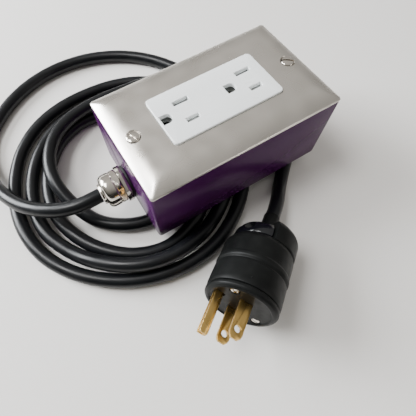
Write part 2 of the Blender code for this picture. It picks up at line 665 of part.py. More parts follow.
def cord_line():
    """Points along the whole cord, with a short straight run out of the gland and into the plug."""
    points = CORD_START + FIRST_TURN + SECOND_TURN + THIRD_TURN + LAST_TURN
    route = [Vector((x, y, height)) * MM + Vector((0, 0, SURFACE_Z)) for x, y, height in points]
    behind_plug = [PLUG_PLACE @ Vector((0, 0, -PLUG_LENGTH - GAP - run)) for run in (9 * MM, 3 * MM, 0)]
    start = Vector((WALL_X - GLAND_END - GAP, 0, GLAND_Z))
    first = start - Vector((3 * MM, 0, 0))
    line = smooth_line([first] + route + behind_plug[:2], CORD_STEP, under_the_box)
    return [start] + line + behind_plug[2:]


def under_the_box(x, y, z):
    """Whether the cord is at all under the box when its centre is here."""
    reach = CORD_RADIUS + GAP
    return abs(x) < BOX_LENGTH / 2 + reach and abs(y) < BOX_WIDTH / 2 + reach and z < BASE_Z


def build_cord():
    tube("power_cord", cord_line(), CORD_RADIUS, BLACK_CORD, 3)
    inner_end = WALL_X + 11 * MM
    cylinder("cord_entry", CORD_RADIUS, -11 * MM, GLAND_END, BLACK_CORD, GLAND_PLACE, sides=16)
    build_box_wires(inner_end + GAP)


def build_box_wires(start_x):
    """Three insulated wires from the cord's jacket to the terminal screws."""
    side = BODY_WIDTH / 2 + 5.2 * MM
    radius = 1.2 * MM
    floor = BASE_Z + BOX_WALL + 4 * MM
    hot = [(start_x, -2.2 * MM, GLAND_Z - 1 * MM), (start_x + 6 * MM, -4 * MM, GLAND_Z - 2 * MM),
           (start_x + 16 * MM, -side * 0.75, floor), (start_x + 30 * MM, -side, floor + 3 * MM),
           (-9 * MM, -side, TERMINAL_Z - 6 * MM), (-5.2 * MM, -side + 3.6 * MM, TERMINAL_Z)]
    neutral = [(x, -y, z) for x, y, z in hot]
    halfway_z = (GLAND_Z + TERMINAL_Z) / 2 + 1 * MM
    ground = [(start_x, 0, GLAND_Z + 2.4 * MM), (start_x + 3 * MM, 0, GLAND_Z + 2.5 * MM),
              (start_x + 6 * MM, 0, GLAND_Z + 5 * MM), (start_x + 7.5 * MM, 0, halfway_z),
              (-BODY_LENGTH / 2 - 1.7 * MM, 0, TERMINAL_Z - 5.2 * MM)]
    for name, route, colour in (("hot", hot, BLACK_WIRE), ("neutral", neutral, WHITE_WIRE),
                                ("ground", ground, GREEN_WIRE)):
        tube(f"{name}_wire", smooth_line(route, 4 * MM), radius, colour)


# ---------------------------------------------------------------- plug

def plug_frame():
    """Where the plug lies: on its rear end, face tipped up, rolled so that the ground pin faces the box."""
    heading = Vector((math.cos(PLUG_HEADING), math.sin(PLUG_HEADING), 0))
    out = heading * math.cos(PLUG_TILT) + Vector((0, 0, math.sin(PLUG_TILT)))
    level = Vector((-math.sin(PLUG_HEADING), math.cos(PLUG_HEADING), 0))
    upward = out.cross(level)
    across = level * math.cos(PLUG_ROLL) + upward * math.sin(PLUG_ROLL)
    height = PLUG_REST * math.sin(PLUG_TILT) + PLUG_REST_RADIUS * math.cos(PLUG_TILT) + 0.2 * MM
    frame = Matrix((across, out.cross(across), out)).transposed().to_4x4()
    frame.translation = (*PLUG_FACE_XY, SURFACE_Z + height)
    return frame


def build_plug_face():
    """The front disc: a raised rim, a sunken face with the prongs' slots and the screw recesses."""
    profile = [(0, -0.6 * MM), (15.5 * MM, -0.6 * MM), (15.8 * MM, 0), (16.6 * MM, 0),
               (17.8 * MM, -0.5 * MM), (18.6 * MM, -1.5 * MM), (18.6 * MM, -2.9 * MM),
               (18.2 * MM, -3.2 * MM), (15.7 * MM, -3.2 * MM), (15.7 * MM, -5.2 * MM), (0, -5.2 * MM)]
    face = turned("plug_face", profile, PLUG_RUBBER, PLUG_PLACE, 32)
    for side in (-1, 1):
        cut(face, prong_slot(f"blade_slot_{side}", BLADE[0], BLADE[1], (side * BLADE_SPREAD / 2, 0)))
    cut(face, prong_slot("pin_slot", *PIN, (0, -GROUND_REACH)))
    for index, place in enumerate(face_screw_places(), start=1):
        cut(face, cylinder(f"screw_recess_{index}", 2.6 * MM, -1.7 * MM, 2 * MM, place=place, sides=16))
        cut(face, cylinder(f"screw_way_{index}", 1.4 * MM, -8 * MM, 0, place=place, sides=10))


def prong_slot(name, thickness, width, middle):
    """A cutter a gap wider than the prong all round."""
    x, y = middle
    return box(name, (x - thickness / 2 - GAP, y - width / 2 - GAP, -8 * MM),
               (x + thickness / 2 + GAP, y + width / 2 + GAP, 2 * MM), place=PLUG_PLACE)


def face_screw_places():
    """Two screws beside the ground pin and one opposite."""
    places = []
    for degrees in FACE_SCREW_TURNS:
        turn = math.radians(degrees)
        middle = (FACE_SCREW_CIRCLE * math.cos(turn), FACE_SCREW_CIRCLE * math.sin(turn), 0)
        places.append(PLUG_PLACE @ Matrix.Translation(middle))
    return places


def build_face_screws():
    profile = [(0, -0.5 * MM), (1.5 * MM, -0.55 * MM), (2.2 * MM, -0.9 * MM), (2.2 * MM, -1.4 * MM),
               (1.1 * MM, -1.4 * MM), (1.1 * MM, -9 * MM), (0, -9 * MM)]
    for index, place in enumerate(face_screw_places(), start=1):
        screw = turned(f"plug_face_screw_{index}", profile, NICKEL, place, 14)
        slot_low = (-3 * MM, -0.3 * MM, -0.95 * MM)
        slot_high = (3 * MM, 0.3 * MM, 1 * MM)
        turn = Matrix.Rotation(0.5 * index, 4, "Z")
        cut(screw, box(f"face_screw_slot_{index}", slot_low, slot_high, place=place @ turn))


def build_plug_body():
    """The rubber body: two bands with a step, a hollow for the terminals, and the rear boss."""
    r = PLUG_RADIUS
    wall = 2.8 * MM
    bore = CORD_RADIUS + GAP
    profile = [
        (r - 1.2 * MM, -3.5 * MM), (r - 0.5 * MM, -3.8 * MM), (r - 0.2 * MM, -5.5 * MM),
        (r - 0.3 * MM, -16.2 * MM), (r - 1.0 * MM, -16.7 * MM), (r - 1.0 * MM, -17.3 * MM),
        (r, -18.4 * MM), (r, -20.2 * MM), (r - 0.3 * MM, -20.9 * MM), (r - 0.3 * MM, -31.0 * MM),
        (r - 1.3 * MM, -33.4 * MM), (r - 3.6 * MM, -35.0 * MM), (bore, -35.0 * MM), (bore, -32.6 * MM),
        (r - wall - 2.5 * MM, -32.6 * MM), (r - wall, -28.5 * MM), (r - wall, -3.5 * MM),
    ]
    body = turned("plug_body", profile, PLUG_RUBBER, PLUG_PLACE, 32, closed=True)
    join(body, build_rear_boss())
    cut(body, cylinder("cord_way", bore, -60 * MM, -31 * MM, place=PLUG_PLACE, sides=20))
    for index, place in enumerate(clamp_screw_places(), start=1):
        cut(body, cylinder(f"clamp_way_{index}", 1.7 * MM, -9 * MM, 6 * MM, place=place, sides=10))


def build_rear_boss():
    """The half of the plug's rear end that the clamp is screwed to."""
    profile = [(0, -32.9 * MM), (18.1 * MM, -32.9 * MM), (18.6 * MM, -33.6 * MM), (18.6 * MM, -42.6 * MM),
               (PLUG_REST_RADIUS, -PLUG_REST), (16.6 * MM, -45.9 * MM), (14.0 * MM, -47.0 * MM),
               (10 * MM, -PLUG_LENGTH), (0, -PLUG_LENGTH)]
    boss = turned("rear_boss", profile, place=PLUG_PLACE, steps=32)
    low = (-30 * MM, CLAMP_PARTING, -60 * MM)
    high = (30 * MM, 30 * MM, -32.8 * MM)
    combine(boss, box("boss_half", low, high, place=PLUG_PLACE), "INTERSECT")
    return boss


def clamp_screw_places():
    """Screws beside the cord that pull the clamp towards the boss: +Z points out of the clamp."""
    turn = Matrix.Rotation(math.pi / 2, 4, "X")
    return [PLUG_PLACE @ Matrix.Translation((x, 0, -39.6 * MM)) @ turn for x in (-8.2 * MM, 8.2 * MM)]


def build_clamp():
    """The glossy cord clamp, a tapering half opposite the boss."""
    profile = [(0, -35.3 * MM), (15.9 * MM, -35.3 * MM), (16.3 * MM, -36.6 * MM), (15.9 * MM, -40.4 * MM),
               (14.4 * MM, -43.4 * MM), (11.8 * MM, -45.5 * MM), (8.8 * MM, -46.2 * MM), (0, -46.2 * MM)]
    clamp = turned("plug_cord_clamp", profile, GLOSS_BLACK, PLUG_PLACE, 32)
    parting = CLAMP_PARTING - 0.7 * MM
    half = box("clamp_half", (-30 * MM, -30 * MM, -60 * MM), (30 * MM, parting, -34 * MM), place=PLUG_PLACE)
    combine(clamp, half, "INTERSECT")
    cut(clamp, cylinder("clamp_bore", CORD_RADIUS + GAP, -60 * MM, -33 * MM, place=PLUG_PLACE, sides=20))
    head_low = 7.2 * MM
    head = [(0, head_low + 1.6 * MM), (1.6 * MM, head_low + 1.5 * MM), (2.2 * MM, head_low + 0.9 * MM),
            (2.2 * MM, head_low), (1.3 * MM, head_low), (1.3 * MM, -7 * MM), (0, -7 * MM)]
    for index, place in enumerate(clamp_screw_places(), start=1):
        cut(clamp, cylinder(f"clamp_recess_{index}", 2.6 * MM, head_low - GAP, 20 * MM, place=place,
                            sides=16))
        cut(clamp, cylinder(f"clamp_hole_{index}", 1.7 * MM, -3 * MM, head_low, place=place, sides=10))
        screw = turned(f"clamp_screw_{index}", head, NICKEL, place, 14)
        cut(screw, box(f"clamp_slot_{index}", (-3 * MM, -0.3 * MM, head_low + 1.0 * MM),
                       (3 * MM, 0.3 * MM, head_low + 3 * MM), place=place))


def build_blade(name, x):
    """A flat brass blade with a rounded tip and a hole near it."""
    thickness, width, length = BLADE
    half = width / 2
    tip = [(half, length - 2.6 * MM), (half - 0.5 * MM, length - 1.1 * MM), (half - 1.5 * MM, length)]
    outline = [(-half, -12 * MM), (half, -12 * MM)] + tip + [(-y, z) for y, z in reversed(tip)]
    loops = [[(x + side * thickness / 2, y, z) for y, z in outline] for side in (-1, 1)]
    blade = lofted(name, loops, BRASS, PLUG_PLACE)
    through = Matrix.Rotation(math.pi / 2, 4, "Y")
    place = PLUG_PLACE @ Matrix.Translation((x, 0, length - 4.7 * MM)) @ through
    cut(blade, cylinder(f"{name}_hole", 1.7 * MM, -3 * MM, 3 * MM, place=place, sides=14))


def pin_section(z, taper=0.0):
    """The folded pin's U: round towards the blades, open away from them, its sides drawn in by taper."""
    width, depth = PIN
    outer = width / 2
    inner = outer - PIN_SHEET
    bend = depth / 2 - outer
    open_end = -depth / 2 + taper
    turns = [math.pi * step / 8 for step in range(9)]
    round_in = max(inner - taper, 0.1 * MM)
    outside = [(outer * math.cos(t), bend + (outer - taper) * math.sin(t)) for t in turns]
    inside = [(inner * math.cos(t), bend + round_in * math.sin(t)) for t in reversed(turns)]
    outline = [(outer, open_end), *outside, (-outer, open_end),
               (-inner, open_end), *inside, (inner, open_end)]
    return [(x, y - GROUND_REACH, z) for x, y in outline]


def build_prongs():
    build_blade("hot_blade", -BLADE_SPREAD / 2)
    build_blade("neutral_blade", BLADE_SPREAD / 2)
    loops = [pin_section(PIN_LENGTH, 0.5 * MM), pin_section(PIN_LENGTH - 0.9 * MM), pin_section(-12 * MM)]
    lofted("ground_pin", loops, BRASS, PLUG_PLACE)


def build_plug_inside():
    """The stripped end of the cord in the plug, and its three wires to the prongs."""
    cylinder("cord_plug_end", CORD_RADIUS, -PLUG_LENGTH, -28 * MM, BLACK_CORD, PLUG_PLACE, sides=16)
    radius = 1.2 * MM
    for name, start, end, colour in (
            ("hot", (-2.1, 0.9), (-BLADE_SPREAD / MM / 2, 0), BLACK_WIRE),
            ("neutral", (2.1, 0.9), (BLADE_SPREAD / MM / 2, 0), WHITE_WIRE),
            ("ground", (0, -2.3), (0, -GROUND_REACH / MM), GREEN_WIRE)):
        local = [(*start, -27.6), (*start, -25), (*end, -16), (*end, -12.4)]
        route = [PLUG_PLACE @ (Vector(point) * MM) for point in local]
        tube(f"plug_{name}_wire", smooth_line(route, 2.5 * MM), radius, colour)


# ---------------------------------------------------------------- build

clear_scene()
PARTS = make_collection("portable_outlet_box")
CUTTERS = make_collection("cutters")

PURPLE_PAINT = make_material("purple_paint", (0.090, 0.022, 0.135), 0.22)
BRUSHED_STEEL = make_material("brushed_stainless", (0.56, 0.53, 0.49), 0.30, 1.0)
WHITE_PLASTIC = make_material("white_plastic", (0.83, 0.84, 0.83), 0.28)
SHUTTER_PLASTIC = make_material("shutter_plastic", (0.60, 0.60, 0.58), 0.45)
BLACK_PLASTIC = make_material("black_plastic", (0.020, 0.020, 0.022), 0.45)
NICKEL = make_material("nickel_plate", (0.66, 0.61, 0.56), 0.16, 1.0)
ZINC = make_material("zinc_plate", (0.55, 0.55, 0.56), 0.40, 1.0)
BRASS = make_material("brass", (0.72, 0.52, 0.22), 0.28, 1.0)
SPRING_STEEL = make_material("spring_steel", (0.60, 0.60, 0.60), 0.30, 1.0)
BLACK_CORD = make_material("cord_jacket", (0.018, 0.020, 0.023), 0.38)
BLACK_RUBBER = make_material("black_rubber", (0.016, 0.016, 0.017), 0.60)
PLUG_RUBBER = make_material("plug_rubber", (0.025, 0.027, 0.030), 0.62)
GLOSS_BLACK = make_material("gloss_black_nylon", (0.010, 0.011, 0.014), 0.18)
GREEN_SCREW = make_material("green_screw", (0.10, 0.35, 0.15), 0.35, 0.8)
BLACK_WIRE = make_material("black_wire", (0.020, 0.020, 0.020), 0.40)
WHITE_WIRE = make_material("white_wire", (0.80, 0.80, 0.78), 0.40)
GREEN_WIRE = make_material("green_wire", (0.05, 0.32, 0.10), 0.40)

GLAND_PLACE = Matrix.Translation((WALL_X, 0, GLAND_Z)) @ Matrix.Rotation(-math.pi / 2, 4, "Y")
PLUG_PLACE = plug_frame()

build_housing()
build_cover_plate()
build_plate_screws()
build_yoke()
build_device_screws()
build_face()
build_shutters()
build_receptacle_body()
build_terminal_screws()
build_contacts()
build_gland()
build_cord()
build_plug_face()
build_face_screws()
build_plug_body()
build_clamp()
build_prongs()
build_plug_inside()
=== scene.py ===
"""Looks of the portable outlet box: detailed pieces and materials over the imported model, camera and studio.

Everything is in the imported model's frame: metres, +X along the box away from its gland, +Z out of the
receptacle's face. Lengths below are written in millimetres times MM.
"""
import json
import math

import bmesh
import bpy
import numpy as np
from mathutils import Matrix, Vector


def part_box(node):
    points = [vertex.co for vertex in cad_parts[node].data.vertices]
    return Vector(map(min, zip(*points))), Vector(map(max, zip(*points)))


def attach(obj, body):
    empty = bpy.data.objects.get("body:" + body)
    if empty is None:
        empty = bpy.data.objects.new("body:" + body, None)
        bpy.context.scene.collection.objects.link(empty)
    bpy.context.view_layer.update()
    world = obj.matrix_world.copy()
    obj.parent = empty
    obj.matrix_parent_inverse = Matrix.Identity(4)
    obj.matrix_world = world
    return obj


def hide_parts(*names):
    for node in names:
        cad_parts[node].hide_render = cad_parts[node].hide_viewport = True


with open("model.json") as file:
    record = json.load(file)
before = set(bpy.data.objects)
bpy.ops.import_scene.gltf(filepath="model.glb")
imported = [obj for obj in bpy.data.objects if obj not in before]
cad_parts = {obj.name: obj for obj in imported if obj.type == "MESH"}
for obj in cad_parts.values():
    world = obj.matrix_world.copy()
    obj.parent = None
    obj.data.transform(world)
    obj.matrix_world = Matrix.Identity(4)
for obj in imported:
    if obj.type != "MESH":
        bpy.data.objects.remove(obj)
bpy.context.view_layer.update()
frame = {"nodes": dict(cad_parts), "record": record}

MM = 0.001
GAP = 0.3 * MM

# box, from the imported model
BOX_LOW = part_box("housing")[0]
PLATE_LOW, PLATE_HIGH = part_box("cover_plate")
FACE_LOW, FACE_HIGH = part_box("receptacle_face")

# cord and gland
CORD_RADIUS = 4.3 * MM
CORD_POINTS = 600
STEPS_PER_SPAN = 24
SURFACE_GAP = 0.4 * MM
SURFACE_Z = BOX_LOW.z - 2 * CORD_RADIUS - SURFACE_GAP
GLAND_LOW, GLAND_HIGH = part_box("gland_nut")
GLAND_Z = (GLAND_LOW.z + GLAND_HIGH.z) / 2

# plug, in its own frame: +Z out of the face along the prongs, X across the blades, ground pin at -Y
PLUG_LENGTH = 47.4 * MM
PLUG_RADIUS = 19 * MM
BLADE = (1.5 * MM, 6.35 * MM)
PIN = (4.0 * MM, 4.7 * MM)
FACE_SCREW_CIRCLE = 13.3 * MM
FACE_SCREW_TURNS = (-52, -139, 68)
CLAMP_PARTING = -1.9 * MM
PLUG_HEADING = math.radians(-145.9)
PLUG_TILT = math.radians(14)
PLUG_ROLL = math.radians(252)
PLUG_FACE_XY = (-44.7 * MM, -92.9 * MM)
PLUG_REST = 44.2 * MM
PLUG_REST_RADIUS = 18 * MM
PLUG_CLEARANCE = 0.2 * MM
CORD_WAY_RADIUS = 4.6 * MM

# The cord's route from the gland to the plug: x, y and the height of its middle over the surface, in mm.
CORD_START = [
    (-88.5, 0.5, 24.3), (-98.5, 3.8, 23.3), (-109, 11, 21.4), (-118.3, 21.5, 18.8), (-126, 36.5, 15.2),
    (-131, 54, 10.4), (-131.5, 73, 6), (-125, 93, 4.4), (-111, 110, 4.4), (-93, 123, 4.4),
    (-73, 130.5, 4.4), (-52, 132.5, 4.4), (-31, 129, 4.4), (-12, 120.5, 4.4), (4, 108, 4.4),
    (17, 91.5, 4.4), (25.8, 73, 4.4), (30, 53, 4.4), (30, 33, 4.4), (27, 11, 4.4),
    (19, -11, 4.4),
]
FIRST_TURN = [
    (5, -31, 4.4), (-11, -44.5, 4.4), (-31, -53.9, 4.4), (-53, -56, 4.4), (-74, -51.7, 4.4),
    (-94, -41.3, 4.4), (-111, -25.5, 4.4), (-122, -7, 4.4), (-126.5, 13, 4.4), (-125, 34, 4.4),
    (-118, 55, 4.4), (-106, 73.5, 4.4), (-89, 87, 4.4), (-69, 94, 4.4), (-48, 95.5, 4.4),
    (-26, 92.5, 4.4), (-6, 83.5, 4.4), (9, 68, 4.4), (17.5, 47, 4.4), (18.3, 25, 4.4),
    (13.3, 2, 4.4), (3, -18, 4.4),
]
SECOND_TURN = [
    (-9.5, -31, 4.4), (-21.5, -38.9, 4.4), (-33.5, -44.9, 8.6), (-46, -48.2, 11.6), (-59, -48.6, 11.8),
    (-73, -45, 11.8), (-92, -32.4, 10), (-107, -13.5, 5.2), (-115.3, 6, 4.4), (-115.3, 27, 4.4),
    (-109, 47, 4.4), (-96.5, 65, 4.4), (-79, 78, 4.4), (-59, 83, 4.4), (-38, 81, 4.4),
    (-19, 73, 4.4), (-3, 59, 4.4), (6, 40, 4.4), (7, 20, 4.4), (1.5, 1, 4.4),
    (-9, -16, 4.4),
]
THIRD_TURN = [
    (-24, -28.5, 4.4), (-38.5, -36.9, 4.4), (-55.5, -40.6, 4.4), (-73, -35.8, 4.4), (-89.5, -22.5, 4.4),
    (-101, -4, 4.4), (-105.5, 15, 4.4), (-102.8, 34, 4.4), (-94.5, 51.5, 4.4), (-82, 65, 4.4),
    (-65, 72.5, 4.4), (-46, 71.5, 4.4), (-28, 63.5, 4.4), (-14.5, 49.5, 4.4), (-7.5, 31, 4.4),
    (-9, 12, 4.4), (-18.5, -4.5, 4.4), (-34, -16, 4.4),
]
LAST_TURN = [
    (-52, -20.5, 4.4), (-69.8, -15.5, 4.4), (-84.5, -3.5, 4.6), (-93.2, 14, 8), (-96.2, 33, 13),
    (-92.3, 50, 13.6), (-82.3, 64, 13.6), (-67, 72.5, 13.5), (-48, 75.8, 13.5), (-27, 75, 13.5),
    (-6, 72.5, 13.5), (12, 68.5, 14.2), (27, 63.5, 14.9), (41.5, 57, 11.8), (54.5, 48, 6.6),
    (63.5, 34.5, 4.4), (66.5, 18, 4.4), (63.5, 1, 4.4), (55.5, -13.5, 4.4), (44, -26.5, 4.4),
    (32, -37, 4.4), (24.2, -43.9, 5.4), (16.8, -50.6, 8.8), (9, -56.8, 11.9),
]


# ---------------------------------------------------------------- helpers

def link(obj):
    bpy.context.scene.collection.objects.link(obj)
    return obj


def plug_frame():
    """Where the plug lies: on its rear end, its face tipped up."""
    heading = Vector((math.cos(PLUG_HEADING), math.sin(PLUG_HEADING), 0))
    out = heading * math.cos(PLUG_TILT) + Vector((0, 0, math.sin(PLUG_TILT)))
    level = Vector((-math.sin(PLUG_HEADING), math.cos(PLUG_HEADING), 0))
    upward = out.cross(level)
    across = level * math.cos(PLUG_ROLL) + upward * math.sin(PLUG_ROLL)
    height = PLUG_REST * math.sin(PLUG_TILT) + PLUG_REST_RADIUS * math.cos(PLUG_TILT) + PLUG_CLEARANCE
    place = Matrix((across, out.cross(across), out)).transposed().to_4x4()
    place.translation = (*PLUG_FACE_XY, SURFACE_Z + height)
    return place


PLUG_PLACE = plug_frame()


# ---------------------------------------------------------------- camera

def make_camera():
    data = bpy.data.cameras.new("camera")
    data.lens = 28.77
    data.shift_x = 0.0623
    data.shift_y = 0.0077
    data.clip_start = 0.005
    camera = link(bpy.data.objects.new("camera", data))
    camera.location = (-0.0769, -0.1025, 0.1585)
    camera.rotation_euler = [math.radians(turn) for turn in (24.71, 1.64, -30.98)]
    bpy.context.scene.camera = camera


# ---------------------------------------------------------------- materials

class Surface:
    """A Principled material with a few procedural layers, all in object coordinates."""

    def __init__(self, name, colour, roughness, metallic=0.0):
        self.material = bpy.data.materials.new(name)
        self.material.use_nodes = True
        self.nodes = self.material.node_tree.nodes
        self.links = self.material.node_tree.links
        self.shader = self.nodes["Principled BSDF"]
        self.colour = colour
        self.set("Base Color", (*colour, 1))
        self.set("Roughness", roughness)
        self.set("Metallic", metallic)
        self.place = self.nodes.new("ShaderNodeTexCoord").outputs["Object"]

    def set(self, socket, value):
        self.shader.inputs[socket].default_value = value

    def noise(self, size, detail=0, stretch=(1, 1, 1)):
        """Noise whose blotches are about size metres across, drawn out along an axis by stretch."""
        mapping = self.nodes.new("ShaderNodeMapping")
        mapping.inputs["Scale"].default_value = [1 / (size * s) for s in stretch]
        noise = self.nodes.new("ShaderNodeTexNoise")
        noise.inputs["Scale"].default_value = 1.0
        noise.inputs["Detail"].default_value = detail
        self.links.new(self.place, mapping.inputs["Vector"])
        self.links.new(mapping.outputs["Vector"], noise.inputs["Vector"])
        return noise.outputs["Fac"]

    def spread(self, value, low, high, start=0.3, end=0.7):
        """The noise's middle range spread from low to high."""
        ramp = self.nodes.new("ShaderNodeMapRange")
        for socket, number in (("From Min", start), ("From Max", end), ("To Min", low), ("To Max", high)):
            ramp.inputs[socket].default_value = number
        self.links.new(value, ramp.inputs["Value"])
        return ramp.outputs["Result"]

    def vary_roughness(self, size, low, high, **kinds):
        self.links.new(self.spread(self.noise(size, **kinds), low, high), self.shader.inputs["Roughness"])
        return self

    def vary_colour(self, size, other, **kinds):
        """Blotches of another colour over the base."""
        mix = self.nodes.new("ShaderNodeMix")
        mix.data_type = "RGBA"
        mix.inputs["A"].default_value = (*self.colour, 1)
        mix.inputs["B"].default_value = (*other, 1)
        factor = self.spread(self.noise(size, **kinds), 0.0, 1.0, 0.35, 0.65)
        self.links.new(factor, mix.inputs["Factor"])
        self.links.new(mix.outputs["Result"], self.shader.inputs["Base Color"])
        return self

    def bump(self, size, depth, **kinds):
        """Grain: depth metres high, size metres across."""
        bump = self.nodes.new("ShaderNodeBump")
        bump.inputs["Strength"].default_value = 1.0
        bump.inputs["Distance"].default_value = depth
        self.links.new(self.noise(size, **kinds), bump.inputs["Height"])
        self.links.new(bump.outputs["Normal"], self.shader.inputs["Normal"])
        return self


def purple_paint():
    paint = Surface("purple_paint", (0.058, 0.0105, 0.070), 0.25)
    paint.set("Specular IOR Level", 0.11)
    paint.vary_colour(30 * MM, (0.052, 0.0090, 0.064))
    paint.vary_roughness(15 * MM, 0.24, 0.27)
    return paint.bump(5.0 * MM, 0.0004 * MM).material


def brushed_stainless():
    steel = Surface("brushed_stainless", (0.72, 0.685, 0.63), 0.30, 1.0)
    steel.vary_colour(14 * MM, (0.66, 0.63, 0.575))
    steel.vary_roughness(9 * MM, 0.27, 0.34)
    return steel.bump(0.6 * MM, 0.0004 * MM, stretch=(25, 1, 1)).material


def white_plastic():
    white = Surface("white_plastic", (0.86, 0.885, 0.88), 0.30)
    white.vary_roughness(6 * MM, 0.26, 0.36, detail=1)
    return white.bump(0.8 * MM, 0.001 * MM).material


def shutter_plastic():
    grey = Surface("shutter_plastic", (0.36, 0.37, 0.36), 0.45)
    return grey.vary_roughness(3 * MM, 0.38, 0.5, detail=1).bump(0.8 * MM, 0.003 * MM).material


def nickel_plate():
    nickel = Surface("nickel_plate", (0.70, 0.66, 0.60), 0.12, 1.0)
    nickel.vary_colour(5 * MM, (0.62, 0.58, 0.52), detail=1)
    nickel.vary_roughness(4 * MM, 0.09, 0.16, detail=1)
    return nickel.bump(2.5 * MM, 0.0015 * MM).material


def zinc_plate():
    zinc = Surface("zinc_plate", (0.55, 0.55, 0.56), 0.40, 1.0)
    return zinc.vary_roughness(4 * MM, 0.3, 0.5, detail=1).bump(1.0 * MM, 0.003 * MM).material


def brass():
    metal = Surface("brass", (0.66, 0.44, 0.145), 0.30, 1.0)
    metal.vary_colour(6 * MM, (0.58, 0.38, 0.12))
    metal.vary_roughness(5 * MM, 0.26, 0.34)
    return metal.bump(2.0 * MM, 0.0006 * MM).material


def cord_jacket():
    jacket = Surface("cord_jacket", (0.0032, 0.0037, 0.0046), 0.31)
    jacket.set("Specular IOR Level", 0.30)
    jacket.vary_colour(12 * MM, (0.0045, 0.005, 0.006))
    jacket.vary_roughness(9 * MM, 0.28, 0.36)
    return jacket.bump(2.0 * MM, 0.002 * MM).material


def plug_rubber():
    rubber = Surface("plug_rubber", (0.0045, 0.0049, 0.0048), 0.42)
    rubber.set("Specular IOR Level", 0.13)
    rubber.vary_colour(6 * MM, (0.0065, 0.007, 0.0068), detail=1)
    rubber.vary_roughness(4 * MM, 0.37, 0.48, detail=1)
    return rubber.bump(0.8 * MM, 0.004 * MM, detail=1).material


def black_rubber():
    rubber = Surface("black_rubber", (0.006, 0.006, 0.006), 0.60)
    return rubber.vary_roughness(3 * MM, 0.5, 0.7, detail=1).bump(1.0 * MM, 0.004 * MM).material


def gloss_black_nylon():
    nylon = Surface("gloss_black_nylon", (0.004, 0.0045, 0.006), 0.14)
    return nylon.vary_roughness(4 * MM, 0.11, 0.19, detail=1).bump(2.5 * MM, 0.003 * MM).material


def plain(name, colour, roughness, metallic=0.0):
    """One colour with a little unevenness, for the floor and for small or hidden pieces."""
    surface = Surface(name, colour, roughness, metallic)
    return surface.vary_roughness(4 * MM, roughness * 0.85, roughness * 1.15, detail=1).material


MATERIALS = {
    "purple_paint": purple_paint(),
    "brushed_stainless": brushed_stainless(),
    "white_plastic": white_plastic(),
    "shutter_plastic": shutter_plastic(),
    "black_plastic": plain("black_plastic", (0.020, 0.020, 0.022), 0.45),
    "nickel_plate": nickel_plate(),
    "zinc_plate": zinc_plate(),
    "brass": brass(),
    "spring_steel": plain("spring_steel", (0.60, 0.60, 0.60), 0.30, 1.0),
    "cord_jacket": cord_jacket(),
    "black_rubber": black_rubber(),
    "plug_rubber": plug_rubber(),
    "gloss_black_nylon": gloss_black_nylon(),
    "green_screw": plain("green_screw", (0.10, 0.35, 0.15), 0.35, 0.8),
    "black_wire": plain("black_wire", (0.020, 0.020, 0.020), 0.40),
    "white_wire": plain("white_wire", (0.80, 0.80, 0.78), 0.40),
    "green_wire": plain("green_wire", (0.05, 0.32, 0.10), 0.40),
}


def dress_nodes():
    """Every CAD node gets the material of its slot in the record."""
    for part in frame["record"]["subparts"]:
        data = frame["nodes"][part["node"]].data
        data.materials.clear()
        data.materials.append(MATERIALS[part["material_slot"]])


# ---------------------------------------------------------------- solids

def solid(name, bm, place=None):
    mesh = bpy.data.meshes.new(name)
    bm.to_mesh(mesh)
    bm.free()
    if place is not None:
        mesh.transform(place)
    return link(bpy.data.objects.new(name, mesh))


def apply_modifiers(obj):
    graph = bpy.context.evaluated_depsgraph_get()
    mesh = bpy.data.meshes.new_from_object(obj.evaluated_get(graph))
    obj.modifiers.clear()
    obj.data = mesh


def combine(obj, other, operation="DIFFERENCE"):
    """Cut, join or intersect with another solid, which is used up."""
    boolean = obj.modifiers.new(operation, "BOOLEAN")
    boolean.object = other
    boolean.operation = operation
    boolean.solver = "EXACT"
    apply_modifiers(obj)
    bpy.data.objects.remove(other, do_unlink=True)


def soften(obj, width, angle=35):
    """Round every edge that is sharper than angle, and shade the rest smoothly."""
    bevel = obj.modifiers.new("Rounded edges", "BEVEL")
    bevel.width = width
    bevel.segments = 2
    bevel.limit_method = "ANGLE"
    bevel.angle_limit = math.radians(angle)
    apply_modifiers(obj)
    return shade(obj)


def shade(obj, angle=35):
    obj.data.shade_smooth()
    obj.data.set_sharp_from_angle(angle=math.radians(angle))
    return obj


def stand_for(obj, slot, body, *nodes):
    """The piece takes its slot's material, rides on the body and shows in place of the CAD nodes."""
    obj.data.materials.clear()
    obj.data.materials.append(MATERIALS[slot])
    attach(obj, body)
    if nodes:
        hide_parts(*nodes)


def rounded_rectangle(length, width, radius, z, steps=8):
    points = []
    for corner, (sx, sy) in enumerate([(1, 1), (-1, 1), (-1, -1), (1, -1)]):
        for step in range(steps + 1):
            turn = math.pi / 2 * (corner + step / steps)
            points.append((sx * (length / 2 - radius) + radius * math.cos(turn),
                           sy * (width / 2 - radius) + radius * math.sin(turn), z))
    return points


def lofted(name, loops, ring=False):
    """A solid through loops of equal count, from the top down. With ring it closes on itself."""
    bm = bmesh.new()
    rows = [[bm.verts.new(point) for point in loop] for loop in loops]
    count = len(rows[0])
    pairs = list(zip(rows, rows[1:]))
    if ring:
        pairs.append((rows[-1], rows[0]))
    else:
        bm.faces.new(rows[0])
        bm.faces.new(list(reversed(rows[-1])))
    for upper, lower in pairs:
        for i in range(count):
            j = (i + 1) % count
            bm.faces.new((upper[j], upper[i], lower[i], lower[j]))
    bmesh.ops.recalc_face_normals(bm, faces=bm.faces)
    return solid(name, bm)


